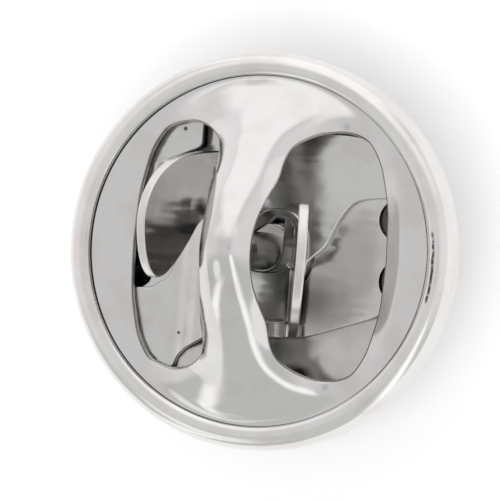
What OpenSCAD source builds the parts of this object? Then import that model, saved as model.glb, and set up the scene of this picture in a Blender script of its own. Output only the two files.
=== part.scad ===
// Pin back: a butterfly clutch on the post of its pad pin.
// The pin stands on its pad: z = 0 is the pad's outer face, +Z runs along the post.
// The arched bridge of the clutch runs along Y, and the wings open along X.

/* [Pin] */
// diameter of the pad
pad_d = 5.6; // [5:0.1:6.4]
// thickness of the pad
pad_t = 0.5; // [0.4:0.05:0.8]
// diameter of the post
post_d = 1.1; // [1:0.02:1.14]
// height of the post's tip above the pad's outer face
post_tip = 8.4; // [8:0.1:8.4]

/* [Clutch] */
// height of the nib plate's outer face above the pad's outer face
clutch_z = 4; // [3.9:0.05:4.2]
// diameter of the clutch
clutch_d = 11.5; // [11.4:0.1:12]
// height of the rolled rim
rim_h = 1.36; // [1.34:0.01:1.45]
// inner diameter of the rolled rim, where it meets the cap
seam_d = 10.14; // [10:0.02:10.3]
// thickness of the nib plate's sheet
plate_t = 0.28; // [0.25:0.01:0.3]
// diameter of the hole in the nib plate
hole_d = 1.56; // [1.4:0.02:1.7]

/* [Nibs] */
// distance of each nib from the axis
nib_r = 4.15; // [4:0.05:4.4]
// half of the angle between the two nibs of a pair
nib_split = 12.3; // [11:0.1:14]
// how far the pairs of nibs are turned from the bridge's axes
nib_turn = 4.5; // [0:0.5:8]
// side of a nib's square base
nib_w = 1; // [0.8:0.05:1.1]
// height of a nib
nib_h = 0.36; // [0.3:0.02:0.5]

/* [Cap] */
// thickness of the cap's sheet
cap_t = 0.22; // [0.18:0.01:0.24]
// height of the flat flange above the nib plate's outer face
flange_z = 1.16; // [1.14:0.01:1.18]
// slope of the bridge's crest towards its feet
crest_slope = 0.95; // [0.93:0.01:0.96]
// roundness of the crest at its top; a smaller number is a sharper bend
crest_bend = 1.2; // [1:0.05:1.4]
// half length of the crest, measured at the flange
crest_y = 4.93; // [4.88:0.01:4.95]
// width of the turned-down lip round each window
lip_w = 0.42; // [0.3:0.02:0.5]

/* [Spring] */
// thickness of the strip and its leaves
leaf_t = 0.22; // [0.18:0.01:0.22]
// thickness of a wing
wing_t = 0.28; // [0.22:0.01:0.3]
// outward lean of a wing, in degrees
wing_lean = 17; // [14:1:20]

/* [Hidden] */
$fn = 96;
gap = 0.03;            // clearance between neighbouring pieces
rim_r = clutch_d / 2;  // outer radius of the clutch
seam_r = seam_d / 2;
post_r = post_d / 2;

// ---------- helpers ----------
// points of an arc about [cx, cy] from angle a to angle b
function arc(cx, cy, r, a, b, n = 8) = [for (i = [0:n]) let (t = a + (b - a) * i / n) [cx + r * cos(t), cy + r * sin(t)]];
// smooth curve through a table of points, m steps between two of them
function cr(a, b, c, d, t) = 0.5 * (2 * b + (c - a) * t + (2 * a - 5 * b + 4 * c - d) * t * t + (3 * b - a - 3 * c + d) * t * t * t);
function through(p, m) = let (n = len(p)) [for (i = [0:n - 2], j = [0:m - 1])
    cr(p[max(i - 1, 0)], p[i], p[i + 1], p[min(i + 2, n - 1)], j / m), p[n - 1]];
function closed_through(p, m) = let (n = len(p)) [for (i = [0:n - 1], j = [0:m - 1])
    cr(p[(i + n - 1) % n], p[i], p[(i + 1) % n], p[(i + 2) % n], j / m)];
function turned(p) = [for (q = p) -q];
function smax(a, b, e) = (a + b + sqrt((a - b) * (a - b) + e * e)) / 2;

// ---------- pin ----------
module pin() {
    e = 0.16;   // rounding of the pad's edges
    color([0.80, 0.80, 0.79])
    rotate_extrude()
        polygon(concat(
            [[0, 0]],
            arc(pad_d / 2 - e, e, e, -90, 0),
            arc(pad_d / 2 - e, pad_t - e, e, 0, 90),
            [[0.86, pad_t]],
            // weld fillet at the foot of the post
            arc(post_r + 0.28, pad_t + 0.28, 0.28, 258, 180, 6),
            // grip groove below the tip, and the blunt point
            [[post_r, 7.05], [post_r - 0.13, 7.22], [post_r - 0.13, 7.42], [post_r, 7.6],
             [post_r, 7.8], [0.3, post_tip - 0.25], [0.14, post_tip - 0.04], [0.06, post_tip], [0, post_tip]]));
}

// ---------- nib plate ----------
// one nib: a four-sided point pushed out of the sheet, hollow behind and pierced at its tip
module nib_outside() {
    for (s = [[0, nib_w, 0.62 * nib_w], [0.4, 0.62 * nib_w, 0.22 * nib_w]])
        translate([0, 0, -nib_h * (s[0] == 0 ? 0.4 : 1)])
            rotate([0, 0, 45])
                cylinder(h = nib_h * (s[0] == 0 ? 0.4 : 0.6), d1 = s[2] * sqrt(2), d2 = s[1] * sqrt(2), $fn = 4);
    translate([0, 0, -0.001]) rotate([0, 0, 45]) cylinder(h = 0.05, d = nib_w * sqrt(2), $fn = 4);
}
module nib_inside() {
    translate([0, 0, plate_t - 0.4]) rotate([0, 0, 45])
        cylinder(h = 0.401, d1 = 0.16, d2 = 0.78 * nib_w * sqrt(2), $fn = 4);
    translate([0, 0, -nib_h - 0.1]) cylinder(h = plate_t + nib_h, d = 0.16, $fn = 16);
}
module nibs() {
    for (q = [0:3], s = [-1, 1])
        rotate([0, 0, nib_turn + 90 * q + s * nib_split]) translate([nib_r, 0, 0]) children();
}
module nib_plate() {
    roll = 0.45;    // radius of the rolled edge
    face = 0.25;    // radius of the edge on the nib side
    color([0.78, 0.78, 0.77])
    translate([0, 0, clutch_z])
    difference() {
        union() {
            rotate_extrude()
                polygon(concat(
                    // dished centre
                    [[hole_d / 2, 0.2], [hole_d / 2 + 0.12, 0.12], [1.2, 0.02], [1.4, 0]],
                    arc(rim_r - face, face, face, -90, 0),
                    arc(rim_r - roll, rim_h - roll, roll, 0, 118, 14),
                    [[seam_r + 0.01, rim_h - 0.09], [seam_r, rim_h - 0.13], [seam_r, flange_z + gap],
                     [rim_r - plate_t - 0.02, flange_z + gap], [rim_r - plate_t, flange_z + gap - 0.02],
                     [rim_r - plate_t, plate_t], [1.4, plate_t], [1.18, plate_t + 0.03],
                     [hole_d / 2 + 0.1, plate_t + 0.14], [hole_d / 2, plate_t + 0.14]]));
            nibs() nib_outside();
        }
        nibs() nib_inside();
    }
}

// ---------- cap ----------
// outline of a window, from its outer side round its upper end to the bridge: x, y
WINDOW = [[3.79, 0], [3.73, 1.3], [3.6, 2.05], [3.42, 2.72], [3.1, 3.28], [2.72, 3.52], [2.25, 3.6], [1.78, 3.51],
          [1.4, 3.31], [1.14, 3.05], [1.03, 2.65], [1.02, 2.1], [0.93, 1.65], [0.83, 1.1], [0.79, 0.5], [0.79, 0]];
corner = 7;             // the row of WINDOW where the bridge begins
steps = 2;              // steps between two rows
half_line = through(WINDOW, steps);
nh = len(half_line) - 1;
nc = corner * steps;    // index of the corner in half_line
// the outer side from corner to corner, going down, and the bridge's edge going up
outer_side = concat([for (i = [nc:-1:0]) half_line[i]], [for (i = [1:nc]) [half_line[i][0], -half_line[i][1]]]);
bridge_side = concat([for (i = [nc:nh]) [half_line[i][0], -half_line[i][1]]], [for (i = [nh - 1:-1:nc]) half_line[i]]);
window_line = concat([for (p = half_line) p], [for (i = [nh - 1:-1:1]) [half_line[i][0], -half_line[i][1]]]);

function seg_d(p, a, b) = let (ab = b - a, t = max(0, min(1, ((p - a) * ab) / (ab * ab)))) norm(p - a - t * ab);
function window_d(x, y) = let (p = [abs(x), y], n = len(window_line))
    min([for (i = [0:n - 1]) seg_d(p, window_line[i], window_line[(i + 1) % n])]);
// height of the crest above the flange: two straight slopes joined by a round top, down to the seam
curve_y = 4.6;
foot_r = 5.05;
foot_w = 2.6;           // width of the bell shape at the feet
function roof(t) = crest_slope * (norm([crest_y, crest_bend]) - norm([t, crest_bend]));
function crown(t) = let (h = roof(curve_y), m = -crest_slope * curve_y / norm([curve_y, crest_bend]),
    w = foot_r - curve_y, u = min(1, (t - curve_y) / w))
    t < curve_y ? roof(t)
    : (2 * pow(u, 3) - 3 * u * u + 1) * h + (pow(u, 3) - 2 * u * u + u) * w * m;
function ease(t) = let (u = max(0, min(1, t))) u * u * (3 - 2 * u);
// a parabola across the span, passing into a bell shape that runs out on the flange at both feet
function body_z(x, y) = let (r = norm([x, y]),
    span = smax(0, crown(abs(y)) - 0.48 * x * x, 0.55 * max(0, 1 - pow(r / foot_r, 6))),
    foot = crown(r) * exp(-pow(x / foot_w, 2)))
    flange_z + span + (foot - span) * ease((abs(y) - 1.4) / 1.6);
function lip_f(t) = (t + sqrt(t * t + 0.12)) / (1 + sqrt(1.12));
function lip(x, y) = let (h = body_z(x, y) - flange_z, d = window_d(x, y))
    (0.12 + 0.08 * (1 - exp(-h / 0.4))) * (lip_f(1 - d / lip_w) - lip_f(-2)) * (d < 3 * lip_w ? 1 : 0);
function cap_z(x, y) = body_z(x, y) - lip(x, y);
function cap_n(x, y) = let (e = 0.02,
    gx = (cap_z(x + e, y) - cap_z(x - e, y)) / 2 / e, gy = (cap_z(x, y + e) - cap_z(x, y - e)) / 2 / e,
    v = [-gx, -gy, 1]) v / norm(v);

module cap() {
    nk = 8;                                     // columns across the bridge
    no = len(outer_side) - 1;                   // steps along a window's outer side
    nr = len(bridge_side) - 1;                  // rows along the bridge
    levels = [0, 0.08, 0.19, 0.34, 0.54, 0.78, 1];   // from the windows out to the seam
    nl = len(levels) + 1;
    nn = 2 * no + 2 * nk;
    edge_r = rim_r - plate_t - gap - 0.02;
    cross = [for (i = [0:nk]) sin(-90 + 180 * i / nk) * 0.5 + (-0.5 + i / nk)];   // columns crowd at the edges
    loop = concat(
        outer_side,
        [for (i = [1:nk]) [bridge_side[0][0] * cross[nk - i], bridge_side[0][1]]],
        [for (i = [1:no]) [-outer_side[no - i][0], outer_side[no - i][1]]],
        [for (i = [1:nk - 1]) [bridge_side[nr][0] * cross[i], bridge_side[nr][1]]]);
    ring = [for (l = [0:nl - 1], k = [0:nn - 1]) let (p = loop[k])
        l == nl - 1 ? p * edge_r / norm(p) : p + levels[l] * (p * (foot_r + 0.02) / norm(p) - p)];
    mid = [for (j = [1:nr - 1], i = [0:nk]) [bridge_side[j][0] * cross[i], bridge_side[j][1]]];
    plan = concat(ring, mid);
    np = len(plan);
    top = [for (p = plan) [p[0], p[1], cap_z(p[0], p[1])]];
    under = [for (i = [0:np - 1]) let (p = top[i], q = p - cap_t * cap_n(p[0], p[1]))
        i >= (nl - 1) * nn && i < nl * nn ? [p[0] * (edge_r - cap_t) / edge_r, p[1] * (edge_r - cap_t) / edge_r, q[2]]
        : q];
    foot = plate_t + gap;
    skirt_out = [for (k = [0:nn - 1]) let (p = plan[(nl - 1) * nn + k]) [p[0], p[1], foot]];
    skirt_in = [for (p = skirt_out) [p[0] * (edge_r - cap_t) / edge_r, p[1] * (edge_r - cap_t) / edge_r, foot]];
    a = nl * nn;        // first index of the bridge's inner rows
    function r(l, k) = l * nn + k % nn;
    function b(j, i) = j == 0 ? r(0, no + nk - i) : j == nr ? r(0, 2 * no + nk + i) : a + (j - 1) * (nk + 1) + i;
    function quad(p, q, s, t) = [[p, q, s], [p, s, t]];
    top_quads = concat(
        [for (l = [0:nl - 2], k = [0:nn - 1]) [r(l, k), r(l + 1, k), r(l + 1, k + 1), r(l, k + 1)]],
        [for (j = [0:nr - 1], i = [0:nk - 1]) [b(j, i), b(j + 1, i), b(j + 1, i + 1), b(j, i + 1)]]);
    under_quads = [for (q = top_quads) [q[0] + np, q[3] + np, q[2] + np, q[1] + np]];
    walls = concat(
        [for (h = [0, 1], k = [0:no - 1]) let (s = h * (no + nk) + k) [r(0, s), r(0, s + 1), r(0, s + 1) + np, r(0, s) + np]],
        [for (j = [0:nr - 1]) [b(j, nk), b(j + 1, nk), b(j + 1, nk) + np, b(j, nk) + np]],
        [for (j = [0:nr - 1]) [b(j + 1, 0), b(j, 0), b(j, 0) + np, b(j + 1, 0) + np]]);
    o = 2 * np;
    edge = [for (k = [0:nn - 1]) let (k1 = (k + 1) % nn, t0 = r(nl - 1, k), t1 = r(nl - 1, k1)) each [
        [t1, t0, o + k, o + k1],
        [o + k1, o + k, o + nn + k, o + nn + k1],
        [o + nn + k1, o + nn + k, t0 + np, t1 + np]]];
    color([0.82, 0.81, 0.81])
    translate([0, 0, clutch_z])
        polyhedron(points = concat(top, under, skirt_out, skirt_in),
            faces = [for (q = concat(top_quads, under_quads, walls, edge)) each quad(q[0], q[1], q[2], q[3])]);
}

// ---------- spring ----------
strip_z = plate_t + gap;                // underside of the strip
leaf_z = strip_z + leaf_t + gap;        // underside of both leaves at their roots
over_z = leaf_z + leaf_t + gap;         // underside of the upper leaf where the two cross
bend_r = leaf_t + gap / 2;              // outer radius of the strip's end bends
bend_x = [4.3, 4.4];                    // inner ends of the bends: right, left
lane_r = [1.72, 2.25];                  // their reach along Y
lane_l = [1.3, 2.1];
travel = 0.4;                           // how far a wing moves when it is squeezed

// outline of the strip: x, y
STRIP = [[1.42, -2.39], [3.41, -1.68], [3.73, -1.5], [3.92, -1.1], [3.92, 1.5], [4.02, lane_r[0]], [bend_x[0] + 0.05, lane_r[0]],
         [bend_x[0] + 0.05, lane_r[1]], [3.85, 2.6], [3.1, 3.1], [1.2, 3.05], [0.4, 2.55], [-1.2, 2.3], [-3, 2.1],
         // the ear beyond the left wing
         [-3.11, 2.42], [-2.1, 2.88], [-2.1, 3.95], [-3, 3.85], [-3.95, 3], [-4.3, 2.1], [-4.3, 1.1], [-4, 0.3],
         [-3.4, 0.2], [-3.38, -1.1], [-3.6, -lane_l[0]], [-bend_x[1] - 0.05, -lane_l[0]], [-bend_x[1] - 0.05, -lane_l[1]],
         [-3.85, -2.4], [-3.4, -3.1], [-2.6, -3.75], [-1.4, -3.6], [-1.2, -2.5], [0.5, -2.5]];
module spring_strip() {
    color([0.74, 0.74, 0.73])
    translate([0, 0, clutch_z]) {
        difference() {
            translate([0, 0, strip_z]) linear_extrude(leaf_t) polygon(STRIP);
            cylinder(h = 2, r = 1.5);
            // room round the pits of the nibs on the right
            for (t = [-1, 1]) rotate([0, 0, nib_turn + t * nib_split]) translate([nib_r, 0, 0]) cylinder(h = 2, r = 0.6);
        }
        // the end bends, with a short return over the strip
        for (s = [0, 1]) rotate([0, 0, 180 * s]) let (lane = s == 0 ? lane_r : lane_l)
            translate([bend_x[s], lane[1], strip_z]) rotate([90, 0, 0]) linear_extrude(lane[1] - lane[0])
                let (h = 2 * leaf_t + gap, c = h / 2)
                polygon(concat([[-0.01, 0], [0, 0]], arc(0, c, c, -90, 90, 12), [[-0.01, h], [-0.01, h - leaf_t], [0, h - leaf_t]],
                    arc(0, c, gap / 2, 90, -90, 6), [[-0.01, leaf_t]]));
    }
}

// A leaf seen from above: x, y. Its wing's foot is a straight line; the front runs from the root round the tip
// to the foot, and the back from the foot to the root. The right wing's leaf is drawn turned by 180 degrees.
FRONT_L = [[3.87, 1.8], [3.35, 1.77], [2.8, 1.67], [2.47, 1.43], [2.16, 0.92], [1.87, 0.28], [1.41, -0.19], [1.33, -0.55],
           [1.15, -0.85], [0.7, -0.93], [0, -0.95], [-0.75, -0.9], [-1.2, -0.7], [-1.4, -0.3], [-1.4, 0.3], [-1.32, 0.84]];
BACK_L = [[-0.65, 2.86], [0, 3.12], [0.97, 3.4], [1.77, 3.45], [2.77, 3.3], [3.4, 3.15], [3.7, 2.95], [3.87, 2.6]];
FOOT_L = [-1.16, 0.97, 2.81];       // x, and the ends along y
FRONT_R = [[3.95, 1.34], [3.6, 1.32], [3.26, 1.29], [3.02, 1.13], [2.79, 0.97], [2.6, 0.55], [2.33, -0.1], [2.1, -0.58],
           [1.75, -0.8], [1.2, -0.87], [0.6, -0.9], [0.2, -1], [-0.1, -1.2], [-0.5, -1.27], [-0.98, -1.15], [-1.28, -0.7], [-1.36, 0],
           [-1.27, 0.25]];
BACK_R = [[-0.75, 2.47], [-0.3, 2.45], [0.3, 2.3], [0.8, 2.32], [1.2, 2.48], [1.7, 2.78], [2.1, 3.02], [2.31, 3.27], [2.39, 3.5],
          [2.52, 3.63], [2.95, 3.54], [3.46, 3.24], [3.8, 2.86], [3.95, 2.45]];
FOOT_R = [-0.92, 0.38, 2.46];
function leaf_line(front, foot, back) = concat(through(front, 3), [[foot[0], foot[1]], [foot[0], foot[2]]], through(back, 3));

// the left wing in its own plane, above its root line: y, height; the right one is wider at its root
WING_L = [[1, 0.24], [0.88, 0.6], [0.62, 1.06], [0.15, 1.42], [-0.29, 1.8], [-0.66, 2.2], [-0.93, 2.6], [-1, 3], [-0.8, 3.34],
          [-0.38, 3.6], [0.2, 3.76], [0.75, 3.8], [1.3, 3.66], [1.8, 3.34], [2.14, 2.95], [2.4, 2.5], [2.56, 2], [2.68, 1.3],
          [2.76, 0.6], [2.78, 0.24]];
WING_R = concat([for (i = [0:15]) WING_L[i]], [[2.74, 1.9], [2.98, 1.2], [3.12, 0.6], [3.16, 0.24]]);
// The bent sheet seen along Y, cut to the wing's outline seen along X. Its inner face meets the leaf's top 0.15 past
// the foot line, and the outline is drawn at size k and moved by dy.
module wing(table, foot, k, dy) {
    last = table[len(table) - 1];
    ri = 0.15;                              // inner radius of the bend
    sl = wing_lean;
    cx = foot - 0.15 - (ri - ri * sin(sl)) * tan(sl) + ri * cos(sl);
    cz = leaf_t + ri;
    up = [-sin(sl), cos(sl)];               // up the wing
    out = [-cos(sl), -sin(sl)];             // out of its outer face
    p = [cx, cz] + ri * out;
    intersection() {
        translate([0, 4, 0]) rotate([90, 0, 0]) linear_extrude(8)
            polygon(concat([[foot + 0.04, 0], [foot + 0.04, leaf_t], [cx, leaf_t]], arc(cx, cz, ri, 270, 180 + sl, 5),
                [p + 4.2 * up, p + 4.2 * up + wing_t * out],
                [for (i = [0:5]) let (t = 180 + sl + (90 - sl) * i / 5, r = ri + wing_t + (leaf_t - wing_t) * i / 5) [cx + r * cos(t), cz + r * sin(t)]]));
        translate([-4, dy, 0]) rotate([90, 0, 90]) linear_extrude(4)
            polygon(concat([[k, -0.5]], [for (q = through(table, 2)) [k * q[0], leaf_t + k * q[1] * cos(sl)]], [[last[0] * k, -0.5]]));
    }
}
// the slot of a leaf, round the post, with the jaw cut beside it
JAW_L = [[0.6, -0.05], [0.6, 0.98], [0.45, 1.12], [-0.2, 1.12], [-0.52, 0.8], [-0.72, 0.45]];
JAW_R = [[-0.97, 0], [-0.97, -0.75], [-0.75, -0.99], [-0.4, -0.99], [0, -0.68], [0.4, -0.4], [0.53, -0.2]];
module slot(jaw) {
    r = post_r + gap;
    translate([0, 0, -2]) linear_extrude(6) {
        polygon(concat(arc(0, 0, r, -90, 90, 24), arc(-travel, 0, r, 90, 270, 24)));
        polygon(jaw);
    }
}
module left_wing() {
    color([0.76, 0.75, 0.73])
    translate([0, 0, clutch_z + leaf_z]) {
        difference() {
            linear_extrude(leaf_t) polygon(leaf_line(FRONT_L, FOOT_L, BACK_L));
            slot(JAW_L);
        }
        wing(WING_L, FOOT_L[0], 1, 0);
    }
}
module right_wing() {
    up = over_z - leaf_z;
    x1 = 2.35;          // the ramp from the root up to the level part over the other leaf
    x2 = 1.8;
    color([0.79, 0.78, 0.77])
    translate([0, 0, clutch_z + leaf_z]) rotate([0, 0, 180]) {
        difference() {
            intersection() {
                translate([0, 0, -1]) linear_extrude(4) polygon(leaf_line(FRONT_R, FOOT_R, BACK_R));
                translate([0, 4, 0]) rotate([90, 0, 0]) linear_extrude(8)
                    polygon([[5, 0], [x1, 0], [x2, up], [-3, up], [-3, up + leaf_t], [x2 + 0.03, up + leaf_t], [x1 + 0.03, leaf_t], [5, leaf_t]]);
            }
            slot(JAW_R);
            // slit between the jaw and the bar at the wing's lower end
            translate([-0.87, 1.93, -1]) cube([0.75, 0.06, 4]);
        }
        translate([0, 0, up]) wing(WING_R, FOOT_R[0], 0.93, -0.52);
    }
}

pin();
nib_plate();
cap();
spring_strip();
left_wing();
right_wing();
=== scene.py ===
# Pin back: butterfly clutch standing on the pad of its pin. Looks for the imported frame.
import math
import bpy
import numpy as np
from mathutils import Vector, Matrix
from mathutils.geometry import delaunay_2d_cdt


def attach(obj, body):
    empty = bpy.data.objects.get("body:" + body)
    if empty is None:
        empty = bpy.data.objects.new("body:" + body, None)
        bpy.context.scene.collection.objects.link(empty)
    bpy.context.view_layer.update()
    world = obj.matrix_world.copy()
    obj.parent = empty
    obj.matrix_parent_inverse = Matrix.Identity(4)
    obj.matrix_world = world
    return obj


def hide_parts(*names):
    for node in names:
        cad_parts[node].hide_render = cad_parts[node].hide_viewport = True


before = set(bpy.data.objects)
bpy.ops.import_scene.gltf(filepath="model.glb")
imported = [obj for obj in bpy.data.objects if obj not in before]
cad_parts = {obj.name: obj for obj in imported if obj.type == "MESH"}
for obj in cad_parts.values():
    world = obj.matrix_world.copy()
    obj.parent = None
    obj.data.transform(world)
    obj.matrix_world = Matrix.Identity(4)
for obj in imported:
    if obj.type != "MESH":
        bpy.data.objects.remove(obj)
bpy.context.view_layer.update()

MM = 0.001

# ------------------------------------------------------------------ sizes, mm
CLUTCH_Z = 4.0          # nib plate's outer face above the pad's outer face
RIM_R, RIM_H, SEAM_R = 5.75, 1.36, 5.07
PLATE_T, HOLE_R = 0.28, 0.78
NIB_R, NIB_SPLIT, NIB_TURN, NIB_W, NIB_H = 4.15, 12.3, 4.5, 1.0, 0.36
CAP_T, FLANGE_Z, LIP_W = 0.22, 1.16, 0.42
CREST_Y, CREST_SLOPE, CREST_BEND = 4.93, 0.95, 1.2
LEAF_T, WING_T, LEAN = 0.22, 0.28, math.radians(17)
GAP, TRAVEL, POST_R = 0.03, 0.4, 0.55
STRIP_Z = PLATE_T + GAP
LEAF_Z = STRIP_Z + LEAF_T + GAP
OVER_Z = LEAF_Z + LEAF_T + GAP
BEND_X = (4.3, 4.4)                     # inner ends of the strip's bends: right, left
LANE_R, LANE_L = (1.72, 2.25), (1.3, 2.1)


# ------------------------------------------------------------------ helpers
def through(table, m, closed=False):
    """Smooth curve through a table of points, m steps between two of them."""
    p = [np.array(q, float) for q in table]
    n = len(p)
    out = []
    for i in range(n if closed else n - 1):
        if closed:
            a, b, c, d = p[(i - 1) % n], p[i], p[(i + 1) % n], p[(i + 2) % n]
        else:
            a, b, c, d = p[max(i - 1, 0)], p[i], p[i + 1], p[min(i + 2, n - 1)]
        for j in range(m):
            t = j / m
            out.append(0.5 * (2 * b + (c - a) * t + (2 * a - 5 * b + 4 * c - d) * t * t + (3 * b - a - 3 * c + d) * t ** 3))
    if not closed:
        out.append(p[-1])
    return np.array(out)


def arc(cx, cy, r, a, b, n):
    t = np.radians(np.linspace(a, b, n + 1))
    return np.stack([cx + r * np.cos(t), cy + r * np.sin(t)], 1)


def evenly(loop, step):
    """A closed loop with points about one step apart, its corners kept."""
    out = []
    n = len(loop)
    for i in range(n):
        a, b = loop[i], loop[(i + 1) % n]
        k = max(1, int(round(np.linalg.norm(b - a) / step)))
        for j in range(k):
            out.append(a + (b - a) * j / k)
    return np.array(out)


def area2(loop):
    x, y = loop[:, 0], loop[:, 1]
    return 0.5 * np.sum(x * np.roll(y, -1) - np.roll(x, -1) * y)


def inside(pts, loop):
    """Which points lie inside a closed loop."""
    x, y = pts[:, 0][:, None], pts[:, 1][:, None]
    a, b = loop, np.roll(loop, -1, 0)
    cross = ((a[:, 1] > y) != (b[:, 1] > y))
    with np.errstate(divide="ignore", invalid="ignore"):
        xs = (b[:, 0] - a[:, 0]) * (y - a[:, 1]) / (b[:, 1] - a[:, 1]) + a[:, 0]
    return (np.sum(cross & (x < xs), 1) % 2) == 1


def inward(loop):
    """Unit direction into the material at each point, for a loop with the material on its left."""
    e = np.roll(loop, -1, 0) - loop
    e /= np.linalg.norm(e, axis=1)[:, None]
    n = np.stack([-e[:, 1], e[:, 0]], 1)
    m = n + np.roll(n, 1, 0)
    m /= np.linalg.norm(m, axis=1)[:, None]
    c = np.clip(np.sum(m * n, 1), 0.6, 1)
    return m, 1 / c


def round_corners(points, r, n=5):
    """A closed polygon with its corners rounded."""
    p = [np.array(q, float) for q in points]
    out = []
    for i in range(len(p)):
        a, b, c = p[i - 1], p[i], p[(i + 1) % len(p)]
        u, v = (a - b), (c - b)
        lu, lv = np.linalg.norm(u), np.linalg.norm(v)
        k = min(r, 0.45 * lu, 0.45 * lv)
        s, e = b + u / lu * k, b + v / lv * k
        for j in range(n + 1):
            t = j / n
            out.append((1 - t) ** 2 * s + 2 * t * (1 - t) * b + t * t * e)
    return np.array(out)


def put(name, verts, faces, normals=None, body=None, nodes=(), mat=None, sharp=None, second=None):
    me = bpy.data.meshes.new(name)
    me.from_pydata([tuple(v) for v in np.asarray(verts) * MM], [], [tuple(int(i) for i in f) for f in faces])
    me.validate(clean_customdata=False)
    me.polygons.foreach_set("use_smooth", [True] * len(me.polygons))
    if sharp is not None:
        me.set_sharp_from_angle(angle=math.radians(sharp))
    if normals is not None and len(me.vertices) == len(normals):
        me.normals_split_custom_set_from_vertices([tuple(n) for n in normals])
    me.update()
    ob = bpy.data.objects.new(name, me)
    bpy.context.scene.collection.objects.link(ob)
    if mat:
        me.materials.append(mat)
    if second:
        # further materials, each on the faces counted from `first` to `last`
        idx = np.zeros(len(me.polygons), dtype=np.int32)
        for k, (m2, spans) in enumerate(second):
            me.materials.append(m2)
            for first, last in spans:
                idx[first:last] = k + 1
        me.polygons.foreach_set("material_index", idx)
    if body:
        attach(ob, body)
    if nodes:
        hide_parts(*nodes)
    return ob


def grid(us, vs):
    """Staggered points on rows of constant u."""
    out = []
    for i, u in enumerate(us):
        v = vs + (0.5 * (vs[1] - vs[0]) if i % 2 else 0)
        out.append(np.stack([np.full(len(v), u), v], 1))
    return np.concatenate(out)


def sheet(outline, holes, t, edge, us, vs, shape, step=0.09, wings=3, rows=()):
    """A sheet cut to an outline with holes, with rounded edges, then bent by shape(u, v, w).

    Returns vertices, faces and normals. w runs from -t/2 to t/2, and +w is the upper face."""
    loops = []
    for k, lp in enumerate([outline] + list(holes)):
        lp = np.asarray(lp, float)
        want = 1 if k == 0 else -1
        if area2(lp) * want < 0:
            lp = lp[::-1]
        loops.append(evenly(lp, step))
    phis = [-90 + 90 * i / wings for i in range(wings + 1)] + [90 * i / wings for i in range(wings + 1)]
    P, N, F = [], [], []
    rims_top, rims_bot, idx = [], [], 0
    for lp in loops:
        d, m = inward(lp)
        n = len(lp)
        rings = []
        for j, ph in enumerate(phis):
            c, s = math.cos(math.radians(ph)), math.sin(math.radians(ph))
            half = -1 if j <= wings else 1
            w = half * (t / 2 - edge) + edge * s
            q = lp + d * m[:, None] * (edge * (1 - c))
            P.append(np.column_stack([q, np.full(n, w)]))
            N.append(np.column_stack([-d * c, np.full(n, s)]))
            rings.append(np.arange(idx, idx + n))
            idx += n
        for a, b in zip(rings[:-1], rings[1:]):
            F += [(a[i], a[(i + 1) % n], b[(i + 1) % n], b[i]) for i in range(n)]
        rims_bot.append(rings[0])
        rims_top.append(rings[-1])
    allp = np.concatenate(P)
    rim_xy = [allp[r][:, :2] for r in rims_top]
    g = grid(us, vs)
    if len(rows):
        # concentric rows where the sheet is bent along a circle
        d = np.hypot(g[:, 0], g[:, 1])
        g = g[(d < min(rows) - 0.4 * step) | (d > max(rows) + 0.4 * step)]
        for k, q in enumerate(rows):
            n = int(2 * np.pi * q / step)
            t_ = 2 * np.pi * (np.arange(n) + 0.5 * (k % 2)) / n
            g = np.concatenate([g, np.stack([q * np.cos(t_), q * np.sin(t_)], 1)])
    ok = inside(g, rim_xy[0])
    for h in rim_xy[1:]:
        ok &= ~inside(g, h)
    g = g[ok]
    rims = np.concatenate(rim_xy)
    near = np.full(len(g), 1e9)
    for i in range(0, len(rims), 400):
        dd = np.linalg.norm(g[:, None, :] - rims[None, i:i + 400, :], axis=2).min(1)
        near = np.minimum(near, dd)
    g = g[near > 0.55 * step]
    pts = np.concatenate([rims, g])
    edges, o = [], 0
    for h in rim_xy:
        n = len(h)
        edges += [(o + i, o + (i + 1) % n) for i in range(n)]
        o += n
    res = delaunay_2d_cdt([Vector(p) for p in pts], edges, [], 0, 1e-9)
    back = [ids[0] if ids else -1 for ids in res[3]]
    tris = np.array([[back[i] for i in f] for f in res[2] if len(f) == 3 and all(back[i] >= 0 for i in f)])
    cen = pts[tris].mean(1)
    keep = inside(cen, rim_xy[0])
    for h in rim_xy[1:]:
        keep &= ~inside(cen, h)
    tris = tris[keep]
    a, b, c = pts[tris[:, 0]], pts[tris[:, 1]], pts[tris[:, 2]]
    flip = ((b - a)[:, 0] * (c - a)[:, 1] - (b - a)[:, 1] * (c - a)[:, 0]) < 0
    tris[flip] = tris[flip][:, ::-1]
    top_ids = np.concatenate(rims_top + [np.arange(idx, idx + len(g))])
    bot_ids = np.concatenate(rims_bot + [np.arange(idx + len(g), idx + 2 * len(g))])
    for w, s in ((t / 2, 1), (-t / 2, -1)):
        P.append(np.column_stack([g, np.full(len(g), w)]))
        N.append(np.column_stack([np.zeros((len(g), 2)), np.full(len(g), float(s))]))
    F += [tuple(top_ids[q]) for q in tris]
    F += [tuple(bot_ids[q[::-1]]) for q in tris]
    P, N = np.concatenate(P), np.concatenate(N)
    X = shape(P[:, 0], P[:, 1], P[:, 2])
    e = 1e-4
    J = np.stack([(shape(P[:, 0] + e * (k == 0), P[:, 1] + e * (k == 1), P[:, 2] + e * (k == 2))
                   - shape(P[:, 0] - e * (k == 0), P[:, 1] - e * (k == 1), P[:, 2] - e * (k == 2))) / (2 * e) for k in range(3)], 2)
    NN = (np.cross(J[:, :, 1], J[:, :, 2]) * N[:, 0:1] + np.cross(J[:, :, 2], J[:, :, 0]) * N[:, 1:2]
          + np.cross(J[:, :, 0], J[:, :, 1]) * N[:, 2:3])
    NN /= np.maximum(np.linalg.norm(NN, axis=1)[:, None], 1e-12)
    return X, F, NN


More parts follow.
